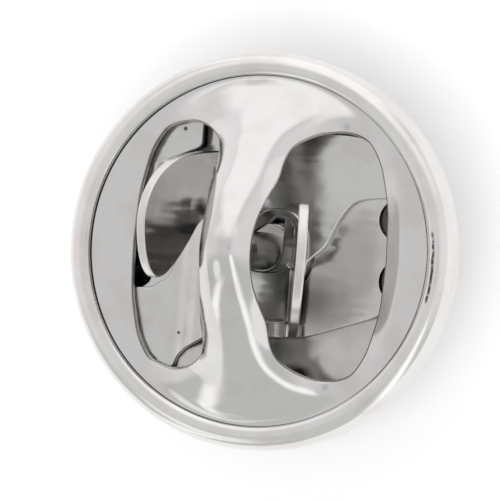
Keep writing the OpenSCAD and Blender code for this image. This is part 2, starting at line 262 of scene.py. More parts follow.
def revolve(profile, n, closed_axis_start=False, closed_axis_end=False):
    """Turns a profile of (r, z) about Z. Points on the axis become one vertex."""
    V, F, ring = [], [], []
    ang = 2 * np.pi * np.arange(n) / n
    for r, z in profile:
        if r < 1e-9:
            ring.append([len(V)] * n)
            V.append((0, 0, z))
        else:
            ring.append(list(range(len(V), len(V) + n)))
            V += [(r * math.cos(a), r * math.sin(a), z) for a in ang]
    for a, b in zip(ring[:-1], ring[1:]):
        for i in range(n):
            j = (i + 1) % n
            q = [a[i], a[j], b[j], b[i]]
            f = [v for k, v in enumerate(q) if v != q[k - 1]]
            if len(f) > 2:
                F.append(tuple(f))
    return np.array(V), F


# ------------------------------------------------------------------ materials
def nickel(name, tint, rough, spread, scratch, grain, marks=0.0, wave=1.0, ring=None, dots=(), ragged_line=None, streak=0.0, rise=None):
    """Plated metal: clouded gloss, hairline scratches, faint pores, dull warmer patches, and a near-black colour
    painted in as shade where it would fall, plus a few small flaws.

    ring is (r0, r1, z0, z1) in mm: painted shade from radius r0 outward or, if r1 is smaller, inward, between two
    heights.
    dots are (x, y, half width, half height, depth) in mm, depth from 0 to 1: mostly painted shade, a few are flaws.
    streak bends the sheet in bands along X.
    rise is (z0, z1): painted shade, darker from the one height to the other. ragged_line is (radius, y0, y1): a ragged
    dark line painted along a circle, on its +X side."""
    m = bpy.data.materials.new(name)
    m.use_nodes = True
    nt = m.node_tree
    nt.nodes.clear()
    out = nt.nodes.new("ShaderNodeOutputMaterial")
    b = nt.nodes.new("ShaderNodeBsdfPrincipled")
    nt.links.new(b.outputs[0], out.inputs[0])
    b.inputs["Metallic"].default_value = 1.0
    tc = nt.nodes.new("ShaderNodeTexCoord")
    mp = nt.nodes.new("ShaderNodeMapping")
    mp.inputs["Scale"].default_value = (1000, 1000, 1000)
    nt.links.new(tc.outputs["Object"], mp.inputs[0])

    def noise(scale, detail, rough_=0.55, src=None):
        n = nt.nodes.new("ShaderNodeTexNoise")
        n.inputs["Scale"].default_value = scale
        n.inputs["Detail"].default_value = detail
        n.inputs["Roughness"].default_value = rough_
        nt.links.new((src or mp).outputs[0], n.inputs["Vector"])
        return n

    def ramp(src, lo, hi, c0, c1):
        r = nt.nodes.new("ShaderNodeMapRange")
        r.interpolation_type = "SMOOTHSTEP"
        r.inputs["From Min"].default_value, r.inputs["From Max"].default_value = lo, hi
        r.inputs["To Min"].default_value, r.inputs["To Max"].default_value = c0, c1
        nt.links.new(src, r.inputs["Value"])
        return r

    def math_(op, a, b_):
        k = nt.nodes.new("ShaderNodeMath")
        k.operation = op
        for i, v in enumerate((a, b_)):
            if isinstance(v, (int, float)):
                k.inputs[i].default_value = v
            else:
                nt.links.new(v, k.inputs[i])
        return k.outputs[0]

    cloud = noise(0.8, 4)
    fine = noise(9.0, 5)
    # colour: slightly warmer and darker where the plate has dulled
    mix = nt.nodes.new("ShaderNodeMix")
    mix.data_type = "RGBA"
    mix.inputs["A"].default_value = (*tint, 1)
    mix.inputs["B"].default_value = (tint[0] * 0.93, tint[1] * 0.905, tint[2] * 0.885, 1)
    nt.links.new(ramp(cloud.outputs["Fac"], 0.42, 0.72, 0.0, 1.0).outputs[0], mix.inputs["Factor"])
    # painted shade: a near-black colour mixed in at seams (ring), up the post (rise), in dots and along a ragged line;
    # a few dots mark flaws instead
    painted_shade_and_flaws = None
    if ring or dots or ragged_line or rise:
        mm = nt.nodes.new("ShaderNodeVectorMath")
        mm.operation = "SCALE"
        mm.inputs["Scale"].default_value = 1000
        nt.links.new(tc.outputs["Object"], mm.inputs[0])
        sp = nt.nodes.new("ShaderNodeSeparateXYZ")
        nt.links.new(mm.outputs[0], sp.inputs[0])
        px, py, pz = sp.outputs
        if ring:
            r = math_("SQRT", math_("ADD", math_("MULTIPLY", px, px), math_("MULTIPLY", py, py)), 0)
            r0, r1, z0, z1 = ring
            g = ramp(r, min(r0, r1), max(r0, r1), *((0.0, 1.0) if r0 < r1 else (1.0, 0.0))).outputs[0]
            g = math_("MULTIPLY", g, math_("MULTIPLY", math_("GREATER_THAN", pz, z0), math_("LESS_THAN", pz, z1)))
            painted_shade_and_flaws = g
        if rise:
            g = ramp(pz, rise[0], rise[1], 0.0, 0.66).outputs[0]
            painted_shade_and_flaws = g if painted_shade_and_flaws is None else math_("MAXIMUM", painted_shade_and_flaws, g)
        # a ragged dark line painted along a circle, on the +X side and above a height
        if ragged_line:
            r = math_("SQRT", math_("ADD", math_("MULTIPLY", px, px), math_("MULTIPLY", py, py)), 0)
            cr, y0, y1 = ragged_line
            off = math_("ABSOLUTE", math_("ADD", math_("SUBTRACT", r, cr), math_("MULTIPLY", math_("SUBTRACT", noise(2.5, 2).outputs["Fac"], 0.5), 0.09)), 0)
            g = ramp(off, 0.02, 0.055, 1.0, 0.0).outputs[0]
            g = math_("MULTIPLY", g, ramp(noise(5.0, 4).outputs["Fac"], 0.36, 0.52, 0.25, 0.95).outputs[0])
            g = math_("MULTIPLY", g, math_("MULTIPLY", ramp(py, y0, y0 + 0.15, 0.0, 1.0).outputs[0], ramp(py, y1 - 0.15, y1, 1.0, 0.0).outputs[0]))
            g = math_("MULTIPLY", g, math_("MULTIPLY", math_("GREATER_THAN", px, 0), math_("GREATER_THAN", pz, 5.2)))
            painted_shade_and_flaws = g if painted_shade_and_flaws is None else math_("MAXIMUM", painted_shade_and_flaws, g)
        for dx, dy, rx, ry, deep in dots:
            ax, ay = math_("MULTIPLY", math_("SUBTRACT", px, dx), 1 / rx), math_("MULTIPLY", math_("SUBTRACT", py, dy), 1 / ry)
            r = math_("SQRT", math_("ADD", math_("MULTIPLY", ax, ax), math_("MULTIPLY", ay, ay)), 0)
            g = ramp(r, 0.5 if deep > 0.7 else 0.1, 1.0, deep, 0.0).outputs[0]
            painted_shade_and_flaws = g if painted_shade_and_flaws is None else math_("MAXIMUM", painted_shade_and_flaws, g)
    if painted_shade_and_flaws is None:
        nt.links.new(mix.outputs["Result"], b.inputs["Base Color"])
    else:
        gm = nt.nodes.new("ShaderNodeMix")
        gm.data_type = "RGBA"
        nt.links.new(painted_shade_and_flaws, gm.inputs["Factor"])
        nt.links.new(mix.outputs["Result"], gm.inputs["A"])
        # the near-black colour of the painted shade, also used for the few flaws
        gm.inputs["B"].default_value = (0.05, 0.048, 0.046, 1)
        nt.links.new(gm.outputs["Result"], b.inputs["Base Color"])
    # gloss: clouds, fine variation and hairlines
    r1 = ramp(cloud.outputs["Fac"], 0.3, 0.75, rough, rough + spread)
    r2 = math_("MULTIPLY", fine.outputs["Fac"], spread * 0.6)
    # hairlines: two sets of stretched noise
    hair = []
    for k, (rot, sc) in enumerate(((0.5, 1.0), (2.1, 1.4))):
        h = nt.nodes.new("ShaderNodeMapping")
        h.inputs["Rotation"].default_value = (0.3 * k, 0.2, rot)
        h.inputs["Scale"].default_value = (28 * sc, 0.9 * sc, 6 * sc)
        nt.links.new(mp.outputs[0], h.inputs[0])
        n = noise(1.0, 2, 0.5, h)
        hair.append(ramp(n.outputs["Fac"], 0.66, 0.74, 0.0, 1.0).outputs[0])
    hairs = math_("MAXIMUM", hair[0], hair[1])
    rsum = math_("ADD", r1.outputs[0], r2)
    rsum = math_("ADD", rsum, math_("MULTIPLY", hairs, 0.10 * scratch))
    nt.links.new(rsum, b.inputs["Roughness"])
    # relief: soft unevenness of the pressed sheet, grain, hairlines
    wav = noise(1.3, 1, 0.4)
    h1 = math_("MULTIPLY", wav.outputs["Fac"], 0.006 * wave)
    h2 = math_("MULTIPLY", noise(30.0, 3).outputs["Fac"], 0.0006 * grain)
    h3 = math_("MULTIPLY", hairs, -0.0006 * scratch)
    hs = math_("ADD", math_("ADD", h1, h2), h3)
    if marks:
        mk = nt.nodes.new("ShaderNodeMapping")
        mk.inputs["Scale"].default_value = (1.2, 16, 1.2)
        nt.links.new(mp.outputs[0], mk.inputs[0])
        hs = math_("ADD", hs, math_("MULTIPLY", noise(1.0, 2, 0.5, mk).outputs["Fac"], 0.0012 * marks))
    if streak:
        mk = nt.nodes.new("ShaderNodeMapping")
        mk.inputs["Scale"].default_value = (0.5, 2.2, 0.5)
        nt.links.new(mp.outputs[0], mk.inputs[0])
        hs = math_("ADD", hs, math_("MULTIPLY", noise(1.0, 1, 0.4, mk).outputs["Fac"], streak))
    bump = nt.nodes.new("ShaderNodeBump")
    bump.inputs["Strength"].default_value = 1.0
    bump.inputs["Distance"].default_value = 0.001
    nt.links.new(hs, bump.inputs["Height"])
    nt.links.new(bump.outputs[0], b.inputs["Normal"])
    return m


# the post is darkened towards its top, inside the clutch, as painted shade (rise)
M_PIN = nickel("pin_nickel", (0.68, 0.67, 0.655), 0.28, 0.10, 0.6, 2.0, rise=(3.2, 5.4))
# painted shade in the seam on the rim's inner wall (ring), and a ragged dark line painted on the rim's +X side
M_PLATE = nickel("plate_nickel", (0.75, 0.74, 0.73), 0.08, 0.06, 0.6, 0.7, ring=(5.09, 5.075, 5.0, 5.25), ragged_line=(5.29, -1.15, 1.0))
# near-black painted shade on the crater at each nib's tip and the pit behind it
M_PIT_SHADE = nickel("pit_painted_shade", (0.05, 0.048, 0.046), 0.5, 0.15, 0.3, 1.5)
# painted shade on the flange at the seam (ring)
M_CAP = nickel("cap_nickel", (0.67, 0.66, 0.655), 0.06, 0.05, 0.5, 0.5, ring=(5.04, 5.055, 5.0, 5.3))
# the cap's underside: a darker copy of its nickel, as painted shade
M_UNDER_SHADE = nickel("cap_underside_painted_shade", (0.53, 0.525, 0.515), 0.30, 0.12, 0.4, 1.5)
NIB_XY = [(NIB_R * math.cos(math.radians(NIB_TURN + 90 * q + s * NIB_SPLIT)), NIB_R * math.sin(math.radians(NIB_TURN + 90 * q + s * NIB_SPLIT)))
          for q in range(4) for s in (-1, 1)]
# the plate's inner face: a darker copy of its nickel as painted shade, with dots of painted shade at the nib pits and
# the dark hollows seen through the windows
M_INNER_SHADE = nickel("plate_inside_painted_shade", (0.58, 0.57, 0.56), 0.15, 0.10, 0.6, 1.2, 
                 dots=[(0.91 * x, 0.96 * y, 0.85, 0.85, 0.92) for x, y in NIB_XY]
                 + [(-4.05, -0.5, 0.5, 0.9, 0.9), (1.27, -3.43, 0.26, 0.24, 0.97), (2.2, 3.5, 1.4, 0.45, 0.9), (-2.06, 3.3, 0.18, 0.8, 0.95),
                    (-2.15, 2.8, 0.4, 0.3, 0.95), (-2.65, 2.6, 0.4, 0.3, 0.95), (0.55, -2.85, 1.1, 0.6, 0.4)])
# most dots are painted shade: at the jaws round the post, along the right wing's bend, under the right window's top
# edge and right of the right wing; the two smallest dots are flaws
M_SPRING = nickel("spring_nickel", (0.62, 0.614, 0.604), 0.11, 0.09, 0.4, 1.0, marks=0.7, wave=2.5, streak=0.035,
                  dots=((-2.64, 3.35, 0.08, 0.08, 0.9), (-2.3, -2.55, 0.065, 0.065, 0.9), (-0.05, 0.1, 0.95, 1.0, 0.9), (-0.05, 0.9, 0.6, 0.55, 0.9),
                        (1.1, -1.3, 0.3, 1.1, 0.9), (1.2, 3.3, 0.95, 0.3, 0.6), (1.15, 2.71, 0.55, 0.1, 0.4), (1.6, -1.3, 0.75, 1.1, 0.4)))
# cut edges: rougher than the faces, with a lighter tint as a painted highlight, and dots of painted shade near the jaws
# and the right wing's bend
M_EDGE = nickel("cut_edge", (0.70, 0.69, 0.68), 0.24, 0.08, 0.6, 1.5, dots=((-0.05, 0.15, 1.3, 1.35, 0.8), (1.1, -1.3, 0.3, 1.1, 0.8)))
M_LIP = nickel("window_edge", (0.64, 0.63, 0.62), 0.24, 0.08, 0.6, 1.5)


# ------------------------------------------------------------------ pin
def build_pin():
    R, T, e = 2.8, 0.5, 0.16
    prof = [(0, 0.012)]
    prof += [(0.36, 0.012), (0.42, 0.0), (0.46, 0.0), (0.5, 0.018), (0.54, 0.0), (0.62, 0.0), (1.2, 0.0), (2.0, 0.0)]
    prof += [tuple(q) for q in arc(R - e, e, e, -90, 0, 8)]
    prof += [tuple(q) for q in arc(R - e, T - e, e, 0, 90, 8)]
    prof += [(1.8, T), (0.95, T), (0.86, T)]
    prof += [tuple(q) for q in arc(POST_R + 0.28, T + 0.28, 0.28, 258, 180, 8)]
    prof += [(POST_R, 1.6), (POST_R, 3.0), (POST_R, 4.4), (POST_R, 5.5), (POST_R, 6.98)]
    prof += [(POST_R - 0.008, 7.03), (POST_R - 0.035, 7.09), (POST_R - 0.09, 7.16), (POST_R - 0.125, 7.24), (POST_R - 0.13, 7.32),
             (POST_R - 0.125, 7.40), (POST_R - 0.09, 7.48), (POST_R - 0.035, 7.55), (POST_R - 0.008, 7.61), (POST_R, 7.66), (POST_R, 7.76)]
    prof += [(0.53, 7.83), (0.47, 7.92), (0.30, 8.15), (0.17, 8.33), (0.12, 8.375), (0.06, 8.395), (0, 8.4)]
    V, F = revolve(prof, 160)
    return put("pin", V, F, body="pin", nodes=["pin"], mat=M_PIN, sharp=50)


# ------------------------------------------------------------------ nib plate
def build_nib_plate():
    NS = 256
    z0 = CLUTCH_Z
    V, F = [], []

    def add(points, z=None):
        base = len(V)
        for p in points:
            V.append((p[0], p[1], (p[2] if z is None else z) + z0))
        return list(range(base, base + len(points)))

    def ringpts(r, z):
        a = 2 * np.pi * np.arange(NS) / NS
        return [(r * math.cos(t), r * math.sin(t), z) for t in a]

    def skin(rings, flip=False):
        for a, b in zip(rings[:-1], rings[1:]):
            n = len(a)
            for i in range(n):
                j = (i + 1) % n
                q = (a[i], a[j], b[j], b[i])
                F.append(q[::-1] if flip else q)

    # rim: from the outer face's edge round the roll to the plate's inner face
    roll, face = 0.45, 0.25
    prof = [tuple(q) for q in arc(RIM_R - face, face, face, -90, 0, 10)]
    prof += [(RIM_R, 0.5), (RIM_R, 0.7)]
    prof += [tuple(q) for q in arc(RIM_R - roll, RIM_H - roll, roll, 0, 112, 24)]
    prof += [(SEAM_R + 0.03, RIM_H - 0.048), (SEAM_R + 0.01, RIM_H - 0.068), (SEAM_R, RIM_H - 0.1), (SEAM_R, FLANGE_Z + GAP + 0.015), (SEAM_R + 0.02, FLANGE_Z + GAP),
             (5.3, FLANGE_Z + GAP), (5.44, FLANGE_Z + GAP), (RIM_R - PLATE_T, FLANGE_Z + GAP - 0.03),
             (RIM_R - PLATE_T, 0.7), (RIM_R - PLATE_T, PLATE_T + 0.03), (RIM_R - PLATE_T - 0.03, PLATE_T)]
    rim = [add(ringpts(r, z)) for r, z in prof]
    skin(rim)
    insides = [(len(F) - 7 * NS, len(F))]
    # dished centre: from the inner face round the hole's edge to the outer face
    prof = [(1.46, PLATE_T), (1.36, PLATE_T + 0.004), (1.25, PLATE_T + 0.02), (1.1, PLATE_T + 0.075), (0.95, PLATE_T + 0.125), (HOLE_R + 0.07, PLATE_T + 0.14),
            (HOLE_R + 0.02, PLATE_T + 0.13), (HOLE_R, PLATE_T + 0.1), (HOLE_R, 0.24), (HOLE_R + 0.02, 0.19), (HOLE_R + 0.06, 0.16), (0.95, 0.115), (1.1, 0.065), (1.25, 0.022), (1.36, 0.006), (1.46, 0)]
    dish = [add(ringpts(r, z)) for r, z in prof]
    skin(dish)
    # nibs
    NP = 48
    nib_out, nib_in, pits = [], [], []
    tips = [(0.05, -0.04), (-0.03, 0.05), (0.04, 0.03), (-0.05, -0.02), (0.02, -0.05), (0.05, 0.02), (-0.04, 0.04), (-0.02, -0.04)]
    k = 0
    for q in range(4):
        for s in (-1, 1):
            a = math.radians(NIB_TURN + 90 * q + s * NIB_SPLIT)
            ca, sa = math.cos(a), math.sin(a)
            tx, ty = tips[k]
            k += 1
            th = 2 * np.pi * (np.arange(NP) + 0.5 * 0) / NP + np.pi / 4 - 2 * np.pi / NP * (NP // 8) + 0

            def ringsq(half, sq, z, shift, rc=0.0):
                """A loop between a circle (sq 0) and a square (sq 1) of the given half side."""
                pts = []
                for t in th:
                    c, s_ = math.cos(t), math.sin(t)
                    r_sq = half / max(abs(c), abs(s_))
                    r_sq = min(r_sq, half * math.sqrt(2) - rc)
                    r = sq * r_sq + (1 - sq) * half
                    x, y = r * c + tx * shift, r * s_ + ty * shift
                    pts.append((NIB_R * ca + x * ca - y * sa, NIB_R * sa + x * sa + y * ca, z))
                return add(pts)

            H = NIB_H
            w = NIB_W / 2
            o = [ringsq(w * 1.09, 1, 0, 0, 0.09), ringsq(w * 1.03, 1, -0.006, 0, 0.06), ringsq(w * 0.97, 1, -0.028, 0.02, 0.04)]
            for f in (0.85, 0.72, 0.6, 0.48, 0.38, 0.3):
                g = (1 - f) / (1 - 0.3)
                o.append(ringsq(w * f, 1, -(0.028 + (H - 0.05) * (0.78 * g + 0.16 * g * g)), g * 0.9, 0.02))
            o += [ringsq(w * 0.24, 0.55, -(H - 0.012), 1), ringsq(w * 0.21, 0.2, -H, 1), ringsq(w * 0.175, 0.1, -(H - 0.01), 1)]
            crater = [ringsq(w * 0.16, 0.1, -(H - 0.04), 1), ringsq(w * 0.1, 0.1, -(H - 0.07), 1)]
            i_ = [ringsq(w * 0.08, 0.2, -(H - 0.14), 0.9), ringsq(w * 0.16, 0.2, -(H - 0.15), 0.9)]
            for f in (0.24, 0.36, 0.5, 0.62, 0.74):
                g = (f - 0.16) / (0.78 - 0.16)
                i_.append(ringsq(w * f, 1, -(H - 0.14) + (H - 0.14 + PLATE_T) * (1 - (1 - g) ** 1.25), 0.8 * (1 - g), 0.01))
            i_ += [ringsq(w * 0.79, 1, PLATE_T - 0.012, 0, 0.03), ringsq(w * 0.85, 1, PLATE_T, 0, 0.06)]
            skin(o, flip=True)
            first = len(F)
            skin([o[-1]] + crater, flip=True)
            F.append(tuple(crater[-1]))
            F.append(tuple(i_[0][::-1]))
            skin(i_, flip=True)
            pits.append((first, len(F)))
            nib_out.append(o[0])
            nib_in.append(i_[-1])
    VV = np.array(V)
    # flat faces between the rim, the dish and the nibs
    for z, outer, inner, nibs_, up in ((0.0, rim[0], dish[-1], nib_out, False), (PLATE_T, rim[-1], dish[0], nib_in, True)):
        first = len(F)
        loops = [outer, inner] + nibs_
        ids = [i for l in loops for i in l]
        pts = VV[ids][:, :2]
        edges, o = [], 0
        for l in loops:
            edges += [(o + i, o + (i + 1) % len(l)) for i in range(len(l))]
            o += len(l)
        ring_extra = []
        for r in (1.9, 2.4, 2.9, 3.3, 5.1):
            n = int(2 * np.pi * r / 0.35)
            for a in 2 * np.pi * np.arange(n) / n:
                ring_extra.append((r * math.cos(a), r * math.sin(a)))
        ring_extra = np.array([p for p in ring_extra])
        extra_ids = list(range(len(V), len(V) + len(ring_extra)))
        for p in ring_extra:
            V.append((p[0], p[1], z + z0))
        allpts = np.concatenate([pts, ring_extra])
        allids = ids + extra_ids
        res = delaunay_2d_cdt([Vector(p) for p in allpts], edges, [], 0, 1e-9)
        back = [x[0] if x else -1 for x in res[3]]
        tr = np.array([[back[i] for i in f] for f in res[2] if len(f) == 3])
        cen = allpts[tr].mean(1)
        rr = np.linalg.norm(cen, axis=1)
        keep = (rr < np.linalg.norm(VV[outer[0]][:2])) & inside(cen, VV[outer][:, :2]) & ~inside(cen, VV[inner][:, :2])
        for l in nibs_:
            keep &= ~inside(cen, VV[l][:, :2])
        tr = tr[keep]
        a, b, c = allpts[tr[:, 0]], allpts[tr[:, 1]], allpts[tr[:, 2]]
        ccw = ((b - a)[:, 0] * (c - a)[:, 1] - (b - a)[:, 1] * (c - a)[:, 0]) > 0
        for t, g in zip(tr, ccw):
            f = [allids[i] for i in t]
            F.append(tuple(f) if g == up else tuple(f[::-1]))
        if up:
            insides.append((first, len(F)))
    return put("nib_plate", V, F, body="clutch", nodes=["nib_plate"], mat=M_PLATE, sharp=40,
               second=[(M_PIT_SHADE, pits), (M_INNER_SHADE, insides)])


# ------------------------------------------------------------------ cap
WINDOW = [(3.79, 0), (3.73, 1.3), (3.6, 2.05), (3.42, 2.72), (3.1, 3.28), (2.72, 3.52), (2.25, 3.6), (1.78, 3.51),
          (1.4, 3.31), (1.14, 3.05), (1.03, 2.65), (1.02, 2.1), (0.93, 1.65), (0.83, 1.1), (0.79, 0.5), (0.79, 0)]
CURVE_Y, FOOT_R, FOOT_W = 4.6, 5.05, 2.6


def window_loop(m=8):
    half = through(WINDOW, m)
    low = half[1:-1][::-1] * np.array([1, -1])
    return np.concatenate([half, low])


WLOOP = window_loop(5)


def window_d(x, y):
    p = np.stack([np.abs(x), y], -1)
    a, b = WLOOP, np.roll(WLOOP, -1, 0)
    best = np.full(p.shape[:-1], 1e9)
    for i in range(len(a)):
        ab = b[i] - a[i]
        t = np.clip(((p - a[i]) @ ab) / (ab @ ab), 0, 1)
        best = np.minimum(best, np.linalg.norm(p - a[i] - t[..., None] * ab, axis=-1))
    return best


def ease(t):
    u = np.clip(t, 0, 1)
    return u * u * (3 - 2 * u)


def crown(y):
    """Height of the crest above the flange: two straight slopes joined by a round top, down to the seam."""
    t = np.abs(y)

    def roof(q):
        return CREST_SLOPE * (math.hypot(CREST_Y, CREST_BEND) - np.hypot(q, CREST_BEND))
    w = FOOT_R - CURVE_Y
    h, m = roof(CURVE_Y), -CREST_SLOPE * CURVE_Y / math.hypot(CURVE_Y, CREST_BEND)
    u = np.clip((t - CURVE_Y) / w, 0, 1)
    end = (2 * u ** 3 - 3 * u ** 2 + 1) * h + (u ** 3 - 2 * u ** 2 + u) * w * m
    return np.where(t < CURVE_Y, roof(t), end)


def cap_z(x, y):
    # a parabola across the span, passing into a bell shape that runs out on the flange at both feet
    r = np.hypot(x, y)
    arch = crown(y) - 0.48 * x ** 2
    e = 0.55 * np.maximum(0, 1 - (r / FOOT_R) ** 6)
    span = (arch + np.sqrt(arch ** 2 + e ** 2)) / 2
    foot = crown(r) * np.exp(-(x / FOOT_W) ** 2)
    body = FLANGE_Z + span + (foot - span) * ease((np.abs(y) - 1.4) / 1.6)
    t = 1 - window_d(x, y) / LIP_W
    f = (t + np.sqrt(t * t + 0.12)) / (1 + math.sqrt(1.12)) - (-2 + math.sqrt(4.12)) / (1 + math.sqrt(1.12))
    return body - (0.12 + 0.08 * (1 - np.exp(-(body - FLANGE_Z) / 0.4))) * np.maximum(f, 0)


def cap_shape(u, v, w):
    """The drawn sheet: bridge and flange from above, and the skirt turned down inside the rim."""
    r = np.hypot(u, v)
    r0, R = 5.16, 0.15
    x, y = u, v
    far = r > r0
    k = np.where(far, r0 / np.maximum(r, 1e-9), 1)
    xi, yi = x * k, y * k
    e = 0.01
    z = cap_z(xi, yi)
    gx = (cap_z(xi + e, yi) - cap_z(xi - e, yi)) / (2 * e)
    gy = (cap_z(xi, yi + e) - cap_z(xi, yi - e)) / (2 * e)
    n = np.stack([-gx, -gy, np.ones_like(gx)], -1)
    n /= np.linalg.norm(n, axis=-1)[..., None]
    d = (w - CAP_T / 2)
    P = np.stack([xi, yi, z], -1) + n * d[..., None]
    s = np.where(far, r - r0, 0)
    a = np.minimum(s / R, np.pi / 2)
    rest = np.maximum(s - R * np.pi / 2, 0)
    rad = (R + w) * np.sin(a)
    dz = -(R + w) * (1 - np.cos(a)) - rest
    ux, uy = xi / r0, yi / r0
    P[..., 0] += np.where(far, ux * rad, 0)
    P[..., 1] += np.where(far, uy * rad, 0)
    P[..., 2] += np.where(far, dz, 0)
    P[..., 2] += CLUTCH_Z
    return P


def build_cap():
    r_out = 5.16 + 0.15 * math.pi / 2 + 0.58
    n = 300
    circ = np.stack([r_out * np.cos(2 * np.pi * np.arange(n) / n), r_out * np.sin(2 * np.pi * np.arange(n) / n)], 1)
    w1 = window_loop(8)
    w2 = w1 * np.array([-1, 1])
    us = np.arange(-6, 6.01, 0.085)
    vs = np.arange(-6, 6.01, 0.098)
    X, F, N = sheet(circ, [w1, w2], CAP_T, 0.05, us, vs, cap_shape, step=0.085, rows=np.arange(4.6, 5.25, 0.05))
    half = sum(len(f) == 3 for f in F) // 2      # the underside's triangles come last
    return put("cap", X, F, N, body="clutch", nodes=["cap"], mat=M_CAP,
               second=[(M_UNDER_SHADE, [(len(F) - half, len(F))]), (M_LIP, [(0, sum(len(f) == 4 for f in F))])])


# ------------------------------------------------------------------ spring
STRIP = [(1.42, -2.39), (3.41, -1.68), (3.73, -1.5), (3.92, -1.1), (3.92, 1.5), (4.02, LANE_R[0]), "tab_r0", "tab_r1", (3.85, 2.6),
         (3.1, 3.1), (1.2, 3.05), (0.4, 2.55), (-1.2, 2.3), (-3, 2.1), (-3.11, 2.42), (-2.1, 2.88), (-2.1, 3.95), (-3.04, 3.9),
         (-4.06, 3.05), (-4.42, 2.1), (-4.38, 1.1), (-4, 0.3), (-3.4, 0.2), (-3.38, -1.1), (-3.6, -LANE_L[0]), "tab_l0", "tab_l1",
         (-3.85, -2.4), (-3.4, -3.1), (-2.6, -3.75), (-1.4, -3.6), (-1.2, -2.5), (0.5, -2.5)]


def bite(loop, c, r):
    """Cuts a round bite out of a closed loop that crosses the circle twice."""
    lp = evenly(np.asarray(loop, float), 0.015)
    if area2(lp) < 0:
        lp = lp[::-1]
    c = np.array(c)
    d = np.linalg.norm(lp - c, axis=1)
    ins = d < r
    start = np.nonzero(~ins & np.roll(ins, -1))[0][0]
    lp = np.roll(lp, -start, 0)
    ins = np.roll(ins, -start)
    k = int(np.nonzero(ins)[0].max())
    a = lp[0] - c
    b = lp[(k + 1) % len(lp)] - c
    a0, b0 = math.atan2(a[1], a[0]), math.atan2(b[1], b[0])
    while b0 > a0:
        b0 -= 2 * math.pi
    n = max(4, int((a0 - b0) * r / 0.03))
    t = np.linspace(a0, b0, n + 1)
    return np.concatenate([np.stack([c[0] + r * np.cos(t), c[1] + r * np.sin(t)], 1), lp[k + 2:]])


def strip_outline():
    """The flat strip with its two end tabs, before they are folded."""
    fold = math.pi * (LEAF_T + GAP) / 2 + 0.012
    tabs = {"tab_r0": (BEND_X[0] + fold, LANE_R[0]), "tab_r1": (BEND_X[0] + fold, LANE_R[1]),
            "tab_l0": (-BEND_X[1] - fold, -LANE_L[0]), "tab_l1": (-BEND_X[1] - fold, -LANE_L[1])}
    lp = round_corners([tabs[p] if isinstance(p, str) else p for p in STRIP], 0.12, 4)
    for s in (-1, 1):
        a = math.radians(NIB_TURN + s * NIB_SPLIT)
        lp = bite(lp, (NIB_R * math.cos(a), NIB_R * math.sin(a)), 0.6)
    return lp


def strip_shape(u, v, w):
    """Each end is folded up and back over the strip."""
    R = LEAF_T / 2 + GAP / 2
    bx = np.where(u > 0, BEND_X[0], BEND_X[1])
    s = np.maximum(np.abs(u) - bx, 0)
    a = np.minimum(s / R, np.pi)
    rest = np.maximum(s - R * np.pi, 0)
    flat = s <= 0
    rr = R - w
    x = np.where(flat, np.abs(u), bx + rr * np.sin(a) - rest)
    z = np.where(flat, w, R - rr * np.cos(a))
    lift = np.maximum(ease((v - 2.1) / 0.35) * (u < -2), ease((-u - 3.1) / 0.35) * ease((v - 0.3) / 1.0))
    return np.stack([np.sign(u) * x, v, z + 0.16 * lift + CLUTCH_Z + STRIP_Z + LEAF_T / 2], -1)


def build_strip():
    hole = arc(0, 0, 1.5, 0, 360, 80)[:-1]
    us = np.concatenate([np.arange(-4.85, -4.3, 0.03), np.arange(-4.3, 4.21, 0.2), np.arange(4.24, 4.75, 0.03)])
    X, F, N = sheet(strip_outline(), [hole], LEAF_T, 0.04, us, np.arange(-4, 4.1, 0.2), strip_shape, step=0.08)
    return put("spring_strip", X, F, N, body="clutch", nodes=["spring_strip"], mat=M_SPRING)


RI = 0.15
RM = RI + LEAF_T / 2
BEND_LEN = RM * (math.pi / 2 - LEAN)
WING_L = [(1, 0.24), (0.88, 0.6), (0.62, 1.06), (0.15, 1.42), (-0.29, 1.8), (-0.66, 2.2), (-0.93, 2.6), (-1, 3), (-0.8, 3.34),
          (-0.38, 3.6), (0.2, 3.76), (0.75, 3.8), (1.3, 3.66), (1.8, 3.34), (2.14, 2.95), (2.4, 2.5), (2.56, 2), (2.68, 1.3),
          (2.76, 0.6), (2.78, 0.24)]
WING_R = WING_L[:16] + [(2.74, 1.9), (2.98, 1.2), (3.12, 0.6), (3.16, 0.24)]
# each leaf seen from above, the right wing's turned by 180 degrees: its front from the root round the tip to the
# wing's foot, its back from the foot to the root, the foot's x and its ends along y, and the slot round the post
R0 = POST_R + GAP
LEFT = dict(front=[(3.87, 1.8), (3.35, 1.77), (2.8, 1.67), (2.47, 1.43), (2.16, 0.92), (1.87, 0.28), (1.41, -0.19), (1.33, -0.55),
                   (1.15, -0.85), (0.7, -0.93), (0, -0.95), (-0.75, -0.9), (-1.2, -0.7), (-1.4, -0.3), (-1.4, 0.3), (-1.32, 0.84)],
            back=[(-0.65, 2.86), (0, 3.12), (0.97, 3.42), (1.77, 3.55), (2.77, 3.5), (3.4, 3.25), (3.7, 2.95), (3.87, 2.6)],
            foot=(-1.16, 0.97, 2.81), wing=WING_L, k=1.0, dy=0.0, turn=False, ramp=False, slit=False,
            slot=[(0.6, -0.02), (0.6, 0.93), (0.57, 1.04), (0.45, 1.12), (-0.15, 1.12), (-0.24, 1.08), (-0.52, 0.8)],
            slot_ends=(-8, 127))
